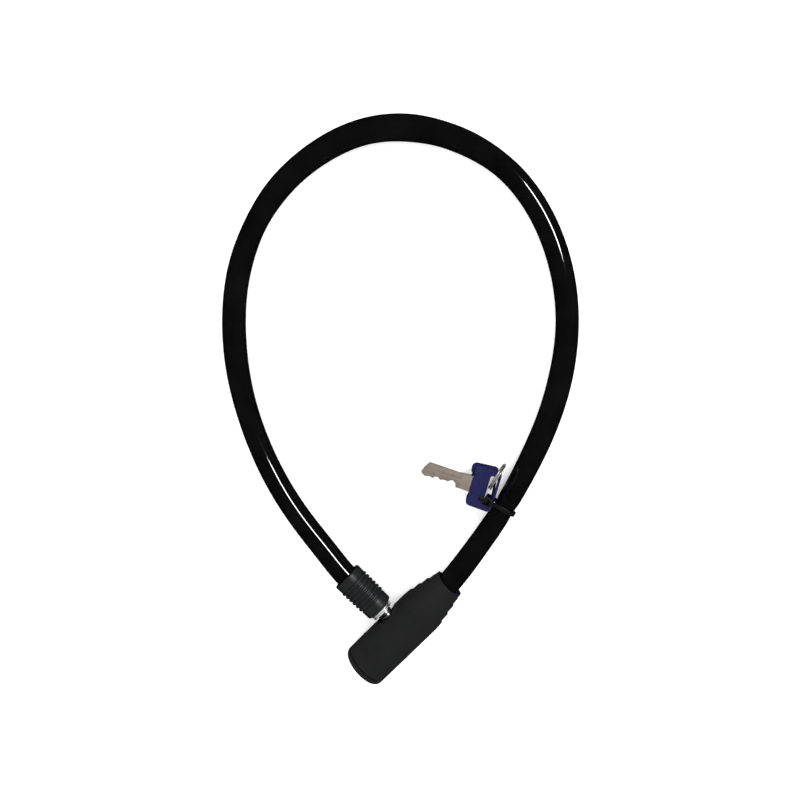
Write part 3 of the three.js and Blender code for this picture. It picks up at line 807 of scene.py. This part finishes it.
def barrel_cover():
    """The soft cover: an outer and an inner skin, both woven round the stud's socket."""
    columns = 192
    half_block = 26  # columns each side of the socket that are woven round it
    seam_drop = [0.32, 0.12, 0.03, 0.0]
    lean_from = 30  # rows beyond this lean towards the scooped mouth
    stations, block_low, block_high = cover_stations()
    rows = len(stations)
    panel = [spread_over(PANEL_R, station, 1.5) for station in stations]
    rib = [spread_over(RIB_R, station, 0.28) for station in stations]
    points = []
    faces = []

    def angle_of(column):
        return 2 * math.pi * column / columns

    def leaned(x, angle, radius):
        if x <= lean_from:
            return x
        share = (x - lean_from) / (MOUTH_X - lean_from)
        return lean_from + share * (mouth_at(angle, radius) - lean_from)

    def on_circle(x, angle, radius):
        return (x, radius * math.cos(angle), AXIS_Z + radius * math.sin(angle))

    def outer_point(i, column):
        angle = angle_of(column)
        radius = cover_radius(angle, panel[i], rib[i])
        if i < len(seam_drop):
            radius -= seam_drop[i]
        return on_circle(leaned(stations[i], angle, radius), angle, radius)

    def inner_point(i, column):
        angle = angle_of(column)
        radius = straight(INNER_R, stations[i])
        return on_circle(leaned(stations[i], angle, LIP_R), angle, radius)

    def in_block(i, column):
        offset = (column + columns // 2) % columns - columns // 2
        return block_low <= i < block_high and -half_block <= offset < half_block

    def skin(place, outward):
        """Adds a skin and gives the number of its first point."""
        base = len(points)
        for i in range(rows):
            for column in range(columns):
                points.append(place(i, column))
        for i in range(rows - 1):
            for column in range(columns):
                if in_block(i, column):
                    continue
                a = base + i * columns + column
                b = base + i * columns + (column + 1) % columns
                quad = (a, b, b + columns, a + columns)
                faces.append(quad if outward else quad[::-1])
        return base

    outer = skin(outer_point, True)
    inner = skin(inner_point, False)

    # The border of the block left open round the socket, as (row, column) pairs in order.
    border = []
    for offset in range(-half_block, half_block):
        border.append((block_low, offset))
    for i in range(block_low, block_high):
        border.append((i, half_block))
    for offset in range(half_block, -half_block, -1):
        border.append((block_high, offset))
    for i in range(block_high, block_low, -1):
        border.append((i, -half_block))

    def border_seen(radius):
        """The border looked at along the stud: how far along X, and how far above the axis."""
        return [Vector((stations[i], radius * math.sin(angle_of(c)))) for i, c in border]

    def weave(base, radius, circle):
        """Rings from the block's border in to a circle, lying on a round surface."""
        last = [base + i * columns + offset % columns for i, offset in border]
        steps = 9
        for k in range(1, steps + 1):
            ring = []
            for start in border_seen(radius):
                flat = start.lerp(start.normalized() * circle, k / steps)
                ring.append(len(points))
                points.append((flat.x, math.sqrt(radius**2 - flat.y**2), AXIS_Z + flat.y))
            faces.extend(joined(last, ring))
            last = ring
        return last

    # The socket's edge is rounded over, and a straight wall joins it to the inner skin.
    fillet = 0.45
    rim = weave(outer, BARREL_R, SOCKET_R + fillet)
    steps = 6
    for k in range(1, steps + 1):
        turn = math.pi / 2 * k / steps
        reach = SOCKET_R + fillet * (1 - math.sin(turn))
        drop = fillet * (1 - math.cos(turn))
        ring = []
        for start in border_seen(BARREL_R):
            outward = start.normalized()
            edge = outward * (SOCKET_R + fillet)
            y = math.sqrt(BARREL_R**2 - edge.y**2) - drop
            ring.append(len(points))
            points.append((outward.x * reach, y, AXIS_Z + outward.y * reach))
        faces.extend(joined(rim, ring))
        rim = ring
    faces.extend(joined(rim, weave(inner, WALL_R, SOCKET_R)))

    # The mouth's rim rolls over from the outside to the bore: each ring stands out by the first
    # number and lies the second number's share of the way in.
    roll = [(0.14, 0.16), (0.2, 0.4), (0.2, 0.65), (0.12, 0.86)]
    circle = range(columns)
    last = [outer + (rows - 1) * columns + column for column in circle]
    for push, share in roll:
        ring = []
        for column in circle:
            angle = angle_of(column)
            radius = cover_radius(angle, panel[-1], rib[-1]) * (1 - share) + BORE_R * share
            ring.append(len(points))
            points.append(on_circle(mouth_at(angle, radius) + push, angle, radius))
        faces.extend(joined(last, ring))
        last = ring
    faces.extend(joined(last, [inner + (rows - 1) * columns + column for column in circle]))
    seam_inside = [inner + column for column in circle]
    seam_outside = [outer + column for column in circle]
    faces.extend(joined(seam_inside, seam_outside))

    # The points inside the open block belong to no face and are left out.
    used = sorted({index for face in faces for index in face})
    renumbered = {old: new for new, old in enumerate(used)}
    kept_faces = [tuple(renumbered[index] for index in face) for face in faces]
    mesh = mesh_of("barrel_jacket", [points[index] for index in used], kept_faces)
    finished("barrel_jacket", mesh, "soft_touch", "lock_body", "barrel_cover", sharp=40)


def turned(name, profile, axis, slot, body, replaced, sides=128, sharp=32):
    """A piece made on a lathe."""
    mesh = lathe_mesh(name, profile, axis, sides)
    finished(name, mesh, slot, body, replaced, sharp)


def end_cap():
    profile = rounded(
        [
            (-29.85, 5.35, 0.25),
            (-30.05, 7.6, 1.5),
            (-29.75, 10.6, 0.9),
            (-28.9, 11.55, 0.9),
            (-27.6, 12.0, 0.8),
            (-26.76, 12.0, 0.25),
            (-26.76, 10.1),
            (-24.2, 10.1),
            (-24.2, 9.0),
            (-26.7, 9.0),
            (-26.7, 5.35),
        ],
        steps=6,
    )
    turned("cap", profile, "X", "soft_touch", "lock_body", "end_cap", sides=160, sharp=40)


def mouth_bush():
    profile = rounded(
        [
            (24.4, 6.35),
            (24.4, 6.9),
            (34.3, 7.1, 0.3),
            (34.3, 6.7, 0.15),
            (31.5, 6.3, 0.5),
        ]
    )
    turned("mouth_bush", profile, "X", "bush_plastic", "lock_body", "neck_bush")


def gasket():
    profile = rounded(
        [
            (7.55, 4.35, 0.2),
            (9.1, 4.5, 0.45),
            (9.1, 5.75, 0.45),
            (7.55, 5.75, 0.2),
        ]
    )
    turned("gasket", profile, "Y", "rubber", "lock_body", "socket_gasket")


barrel_cover()
end_cap()
mouth_bush()
gasket()


# ---- key cylinder -----------------------------------------------------------------------------


def key_plug():
    """The plug's face shows in the cap, with the keyway cut down it and a countersunk entry."""
    profile = rounded(
        [
            (-29.4, 0),
            (-29.4, 3.6, 0.4),
            (-29.55, 3.9, 0.2),
            (-29.5, 4.75, 0.3),
            (-29.0, 5.0, 0.25),
            (-26.8, 5.0),
            (-26.8, 4.7),
            (-9.9, 4.7),
            (-9.9, 2.9),
            (-7.2, 2.9),
            (-7.2, 0),
        ],
        steps=4,
    )
    body = oriented(lathe_mesh("plug", profile, "X", sides=96))
    front = -31
    back = -10.6
    keyway = brick_mesh((front, -1.15, AXIS_Z - 3.9), (back, 1.15, AXIS_Z + 3.9), rounding=0.35)
    ward = brick_mesh((front, 0.6, AXIS_Z + 0.8), (back, 1.7, AXIS_Z + 1.6), rounding=0.15)
    body = shaped(body, "DIFFERENCE", keyway, ward)
    finished("plug", body, "steel", "plug", "lock_plug", sharp=30)


key_plug()


# ---- stud and ferrule -------------------------------------------------------------------------


def stud():
    """The bolt end: a tapered nose, the latch's groove, and a thin ring groove near the collar."""
    profile = rounded(
        [
            (-7, 0),
            (-7, 2.0, 0.5),
            (-4, 4.0, 0.5),
            (-1.4, 4.0, 0.25),
            (-1.2, 2.7, 0.3),
            (1.2, 2.7, 0.3),
            (1.4, 4.0, 0.25),
            (10.9, 4.0, 0.2),
            (11.2, 3.75, 0.2),
            (11.7, 3.75, 0.2),
            (12.0, 4.0, 0.2),
            (13.3, 4.0),
            (13.3, 3.2),
            (24, 3.2),
            (24, 0),
        ],
        steps=4,
    )
    turned("stud", profile, "Y", "chrome", "bolt_end", "locking_stud")


def collar():
    profile = rounded(
        [
            (13.6, 3.55),
            (13.6, 6.05, 0.3),
            (13.9, 6.3, 0.25),
            (14.4, 6.2, 0.2),
            (14.5, 5.55, 0.1),
            (14.7, 5.55, 0.1),
            (14.8, 6.3, 0.2),
            (15.35, 6.38, 0.25),
            (15.7, 6.1, 0.2),
            (15.7, 3.55),
        ],
        steps=4,
    )
    turned("collar", profile, "Y", "chrome", "bolt_end", "stud_collar", sides=144)


def ferrule():
    """Two smooth bands with six soft ridges between them, which grow a little up the ferrule."""
    low = 21.0
    high = 35.0
    ridges = 6
    growth = 0.3
    groove_depth = 0.8
    pitch = (high - low) / ridges
    corners = [(16, 5.9), (16, 7.25, 0.3), (16.4, 7.6, 0.3), (low, 7.7, 0.2)]
    for k in range(ridges):
        y = low + k * pitch
        crest = 8.1 + growth * (k + 1) / ridges
        corners += [
            (y + 0.1 * pitch, crest - groove_depth, 0.18),
            (y + 0.36 * pitch, crest - groove_depth, 0.18),
            (y + 0.5 * pitch, crest, 0.3),
            (y + 0.92 * pitch, crest, 0.4),
        ]
    corners += [
        (high + 0.15, 7.7, 0.15),
        (high + 0.5, 7.95, 0.2),
        (39.5, 8.1, 0.4),
        (40, 7.7, 0.4),
        (40, 6.45, 0.2),
        (39.6, 6.3),
        (32.8, 6.3),
        (32.7, 5.9),
    ]
    profile = rounded(corners, steps=4)
    turned(
        "ferrule", profile, "Y", "grip_plastic", "bolt_end", "ferrule_cover", sides=160, sharp=40
    )


stud()
collar()
ferrule()


# ---- keys -------------------------------------------------------------------------------------
# A key lies in its own X and Y, with its head's middle at the origin and its blade along +X.

SLOT_OFFSET = -3.6
HEAD_BACK = -6.75
HEAD_FACE = 6.75
HEAD_HALF_WIDTH = 10.75
HEAD_CORNER = 2.6
KEY_RELIEF = 1.7
KEY_CUTS = (2.8, 2.1, 2.9, 2.3)


def rounded_rectangle(x_low, x_high, y_low, y_high, radius, steps=8):
    corners = [
        (x_low, y_low, radius),
        (x_high, y_low, radius),
        (x_high, y_high, radius),
        (x_low, y_high, radius),
    ]
    return rounded(corners, steps)


def head_outline():
    """The head's edge: round corners, two shallow notches on the blade's side."""
    corners = [
        (HEAD_BACK, -HEAD_HALF_WIDTH, HEAD_CORNER),
        (HEAD_FACE, -HEAD_HALF_WIDTH, HEAD_CORNER),
    ]
    for side in (-1, 1):
        notch = [
            (HEAD_FACE, side * 6.3, 0.8),
            (HEAD_FACE - 0.75, side * 5.6, 0.7),
            (HEAD_FACE - 0.75, side * 4.6, 0.7),
            (HEAD_FACE, side * 3.9, 0.8),
        ]
        corners += notch if side == -1 else notch[::-1]
    corners += [
        (HEAD_FACE, HEAD_HALF_WIDTH, HEAD_CORNER),
        (HEAD_BACK, HEAD_HALF_WIDTH, HEAD_CORNER),
    ]
    return rounded(corners, steps=7)


def key_head_mesh():
    slot_half = 2.1
    slot_reach = 7.5
    slot = rounded_rectangle(
        SLOT_OFFSET - slot_half, SLOT_OFFSET + slot_half, -slot_reach, slot_reach, 2.0
    )
    outlines = [head_outline(), slot[::-1]]
    return extruded_mesh("head", outlines, thickness=4.0, bevel=0.7, bevel_steps=4)


def blade_mesh():
    """The bit: a shoulder by the head, cuts along +Y, and grooves down both faces."""
    root = 1.75
    tip = HEAD_FACE + 25.5
    half = 3.7
    shoulder = 4.1
    shoulder_end = HEAD_FACE + 6.5
    pitch = (tip - 2.5 - shoulder_end) / len(KEY_CUTS)
    corners = [(root, -shoulder), (root, shoulder), (shoulder_end, shoulder, 0.4)]
    corners.append((shoulder_end, half, 0.2))
    for i, depth in enumerate(KEY_CUTS):
        x = shoulder_end + 0.4 + i * pitch
        corners += [
            (x, half - KEY_RELIEF, 0.25),
            (x + 0.3 * pitch, half - depth, 0.2),
            (x + 0.6 * pitch, half - depth, 0.2),
        ]
    corners += [
        (tip - 2, half - KEY_RELIEF - 0.2, 0.3),
        (tip, 0.3, 0.3),
        (tip, -0.8, 0.3),
        (tip - 1.6, -half, 0.4),
        (shoulder_end - 0.5, -half, 0.3),
        (shoulder_end - 1.5, -shoulder, 0.3),
    ]
    outline = rounded(corners, steps=3)
    blade = extruded_mesh("blade", [outline], thickness=1.9, bevel=0.12, bevel_steps=2)
    start = shoulder_end - 1
    stop = tip + 2
    grooves = [
        brick_mesh((start, -1.7, 0.7), (stop, -0.7, 1.4), rounding=0.15),
        brick_mesh((start + 1.5, 0.3, 0.75), (stop, 1.0, 1.4), rounding=0.12),
        brick_mesh((start, -0.8, -1.4), (stop, 0.2, -0.7), rounding=0.15),
    ]
    return shaped(oriented(blade), "DIFFERENCE", *grooves)


# The tie sits round the cable at the seat, and the keys hang on its far leg.
TIE_REACH = 10.0  # from the cable's middle to the middle of that leg
seat_index = round(TIE_SHARE * (len(cable_points) - 1))
seat = cable_points[seat_index]
seat_tangent = (cable_points[seat_index + 1] - cable_points[seat_index - 1]).normalized()
aside = math.atan2(seat_tangent.y, seat_tangent.x) + math.pi / 2
tie_leg = Vector((seat.x + TIE_REACH * math.cos(aside), seat.y + TIE_REACH * math.sin(aside)))


def place_key(name, slot_point, height, heading, dip):
    """A key whose slot_point, in its own X and Y, lies on the tie's leg; angles in degrees."""
    turn = math.radians(heading)
    forward, side = slot_point
    x = tie_leg.x - forward * math.cos(turn) + side * math.sin(turn)
    y = tie_leg.y - forward * math.sin(turn) - side * math.cos(turn)
    place = (
        Matrix.Translation(Vector((x, y, height)) * MM)
        @ Matrix.Rotation(turn, 4, "Z")
        @ Matrix.Rotation(math.radians(dip), 4, "Y")
    )
    head = moved(key_head_mesh(), place)
    finished(f"{name}_grip", head, "key_plastic", name, f"{name}_head", sharp=30)
    blade = moved(blade_mesh(), place)
    finished(f"{name}_bit", blade, "key_nickel", name, f"{name}_blade", sharp=30)


place_key("key_1", (SLOT_OFFSET + 0.3, 5), height=12, heading=118, dip=12)
place_key("key_2", (SLOT_OFFSET, 5.6), height=6.6, heading=124, dip=9.2)


def key_ring():
    """A split ring: nearly two turns of wire, side by side but for one crossing."""
    ring_r = 7.35
    wire_r = 0.43
    turns = 1.94
    per_turn = 64
    count = round(turns * per_turn)
    gap = 2.3 * wire_r  # between the middles of the two turns
    middle = Vector((seat.x + 9.5, seat.y + 14.1, ring_r + wire_r + 1.6))
    heading = Matrix.Rotation(math.radians(13), 4, "Z")
    lean = Matrix.Rotation(math.radians(-7), 4, "X")
    place = Matrix.Translation(middle) @ heading @ lean
    points = []
    for i in range(count + 1):
        turn = i / per_turn
        angle = 2 * math.pi * turn
        side = gap * (smooth((turn - 0.78) / 0.4) - 0.5)
        flat = Vector((ring_r * math.cos(angle), side, ring_r * math.sin(angle)))
        points.append(place @ flat)

    def section(i, angle):
        end = min(i, count - i)
        trim = 0.7 + 0.3 * smooth(end / 2)
        return wire_r * trim * math.cos(angle), wire_r * trim * math.sin(angle)

    mesh = tube_mesh("split_ring", points, (0, 1, 0), 16, section)
    finished("split_ring", mesh, "spring_steel", "ring", "key_ring", sharp=50)


key_ring()


# ---- cable tie --------------------------------------------------------------------------------
# The tie is drawn in its own plane: X towards the keys and Y up, from the cable's middle.

STRAP_THICK = 0.9
STRAP_WIDE = 2.2
STRAP_R = 5.75 + STRAP_THICK / 2  # of the strap's middle line round the cable


def dense(line, step):
    """The same line with points no further apart than step."""
    result = [line[0]]
    for a, b in zip(line, line[1:]):
        pieces = max(1, math.ceil((b - a).length / step))
        for k in range(1, pieces + 1):
            result.append(a.lerp(b, k / pieces))
    return result


def strap_mesh(name, middle):
    """A flat strap of rounded section along a line in the tie's plane."""
    middle = dense(middle, 0.5)
    points = []
    section = rounded_rectangle(
        -STRAP_THICK / 2, STRAP_THICK / 2, -STRAP_WIDE / 2, STRAP_WIDE / 2, 0.25, steps=3
    )
    for i, place in enumerate(middle):
        before = middle[max(i - 1, 0)]
        after = middle[min(i + 1, len(middle) - 1)]
        tangent = (after - before).normalized()
        normal = Vector((-tangent.y, tangent.x))
        for across, deep in section:
            flat = place + normal * across
            points.append((flat.x, flat.y, deep))
    faces = grid_faces(len(middle), len(section), close_columns=True)
    faces += end_faces(len(middle), len(section))
    return oriented(mesh_of(name, points, faces))


def arc(middle_x, middle_y, radius, start, sweep, steps, first=0):
    """Points round an arc, from the one numbered first; the angles are in quarter turns."""
    points = []
    for k in range(first, steps + 1):
        angle = math.pi / 2 * (start + sweep * k / steps)
        x = middle_x + radius * math.cos(angle)
        points.append(Vector((x, middle_y + radius * math.sin(angle))))
    return points


def build_tie():
    """The strap round the cable, its leg through the slots, the box on top and the cut tail."""
    bend = 2.2
    under = arc(0, 0, STRAP_R, 1, 2, 32)
    under.append(Vector((TIE_REACH - bend, -STRAP_R)))
    under += arc(TIE_REACH - bend, bend - STRAP_R, bend, -1, 1, 8, first=1)
    under.append(Vector((TIE_REACH, 9.9)))
    over = [
        Vector((0, STRAP_R)),
        Vector((1.6, STRAP_R + 0.05)),
        Vector((3.8, 6.7)),
        Vector((6.2, 8.2)),
        Vector((TIE_REACH - 1.2, 9.7)),
    ]
    tail = [
        Vector((TIE_REACH, 8.0)),
        Vector((TIE_REACH + 0.1, 10.8)),
        Vector((TIE_REACH + 0.9, 12.1)),
        Vector((TIE_REACH + 2.6, 12.7)),
        Vector((TIE_REACH + 5.2, 12.9)),
    ]
    box = brick_mesh((TIE_REACH - 2.2, 8.2, -2.2), (TIE_REACH + 2.2, 11.6, 2.2), rounding=0.35)
    window = brick_mesh(
        (TIE_REACH - 0.85, 8.0, -1.35), (TIE_REACH + 0.85, 12.5, 1.35), rounding=0.1
    )
    box = oriented(shaped(oriented(box), "DIFFERENCE", window))
    parts = [strap_mesh("over", over), box, strap_mesh("tail", tail)]
    whole = shaped(strap_mesh("strap", under), "UNION", *parts)
    place = (
        Matrix.Translation(seat * MM)
        @ Matrix.Rotation(aside, 4, "Z")
        @ Matrix.Rotation(math.pi / 2, 4, "X")
    )
    finished("tie", moved(whole, place), "tie_nylon", "tie", "cable_tie", sharp=35)


build_tie()


# ---- kept CAD nodes ---------------------------------------------------------------------------

for row in frame["record"]["subparts"]:
    node = frame["nodes"][row["node"]]
    node.data.materials.clear()
    node.data.materials.append(MATERIALS[row["material_slot"]])


# ---- floor and light --------------------------------------------------------------------------


def add_floor():
    nodes = Nodes("floor")
    cloud = nodes.noise(3, detail=2)
    base = nodes.colours(cloud, [(0.2, (0.86, 0.86, 0.86)), (0.8, (0.88, 0.88, 0.88))])
    material = nodes.set(
        Base_Color=base,
        Roughness=0.9,
        Specular_IOR_Level=0.1,
        Emission_Color=(1, 1, 1, 1),
        Emission_Strength=0.3,
    )
    mesh = bpy.data.meshes.new("floor")
    half = 6.0
    corners = [(-half, -half, 0), (half, -half, 0), (half, half, 0), (-half, half, 0)]
    mesh.from_pydata(corners, [], [(0, 1, 2, 3)])
    mesh.materials.append(material)
    floor = bpy.data.objects.new("floor", mesh)
    SCENE.collection.objects.link(floor)
    floor.visible_glossy = False


def add_world():
    world = bpy.data.worlds.new("world")
    world.use_nodes = True
    background = world.node_tree.nodes["Background"]
    background.inputs["Color"].default_value = (1, 1, 1, 1)
    background.inputs["Strength"].default_value = 1.65
    SCENE.world = world
    world.cycles_visibility.glossy = False


def add_card(name, place, aim, wide, deep, radiance):
    """A flat light facing its aim, wide across world X and deep across world Y, in metres."""
    data = bpy.data.lights.new(name, "AREA")
    data.shape = "RECTANGLE"
    data.size = wide
    data.size_y = deep
    data.energy = radiance * wide * deep * math.pi
    light = bpy.data.objects.new(name, data)
    SCENE.collection.objects.link(light)
    back = (Vector(place) - Vector(aim)).normalized()
    across = (Vector((1, 0, 0)) - back * back.x).normalized()
    turn = Matrix((across, back.cross(across), back)).transposed()
    light.matrix_world = Matrix.Translation(Vector(place)) @ turn.to_4x4()
    return light


def add_metal_tent():
    """Soft cards that only the bare metal pieces see, so that they shine like metal in a tent."""
    receivers = bpy.data.collections.new("bare_metal")
    for thing in list(SCENE.objects):
        # The stud stays out of it, in the dark of its socket.
        if thing.type != "MESH" or not thing.data.materials or thing.name == "stud":
            continue
        if thing.data.materials[0] in BARE_METALS:
            receivers.objects.link(thing)
    x = 0.084
    y = 0.083
    middle = (x, y, 0)
    cards = [
        add_card("tent_top", (x, y, 1.2), middle, wide=1.8, deep=1.8, radiance=0.95),
        add_card("tent_left", (-1.2, y, 0.6), middle, wide=1.2, deep=1.6, radiance=0.8),
        add_card("tent_right", (1.4, y, 0.6), middle, wide=1.2, deep=1.6, radiance=0.55),
        add_card("tent_near", (x, -1.2, 0.6), middle, wide=1.6, deep=1.2, radiance=0.5),
        add_card("tent_far", (x, 1.4, 0.6), middle, wide=1.6, deep=1.2, radiance=0.8),
        add_card("tent_under", (x, y, -0.5), middle, wide=1.6, deep=1.6, radiance=0.6),
    ]
    for card in cards:
        card.light_linking.receiver_collection = receivers
        card.light_linking.blocker_collection = receivers


add_floor()
add_world()
add_metal_tent()
add_card("softbox", (0.56, 0.02, 0.60), (0.1, 0.08, 0), wide=0.11, deep=0.22, radiance=25)
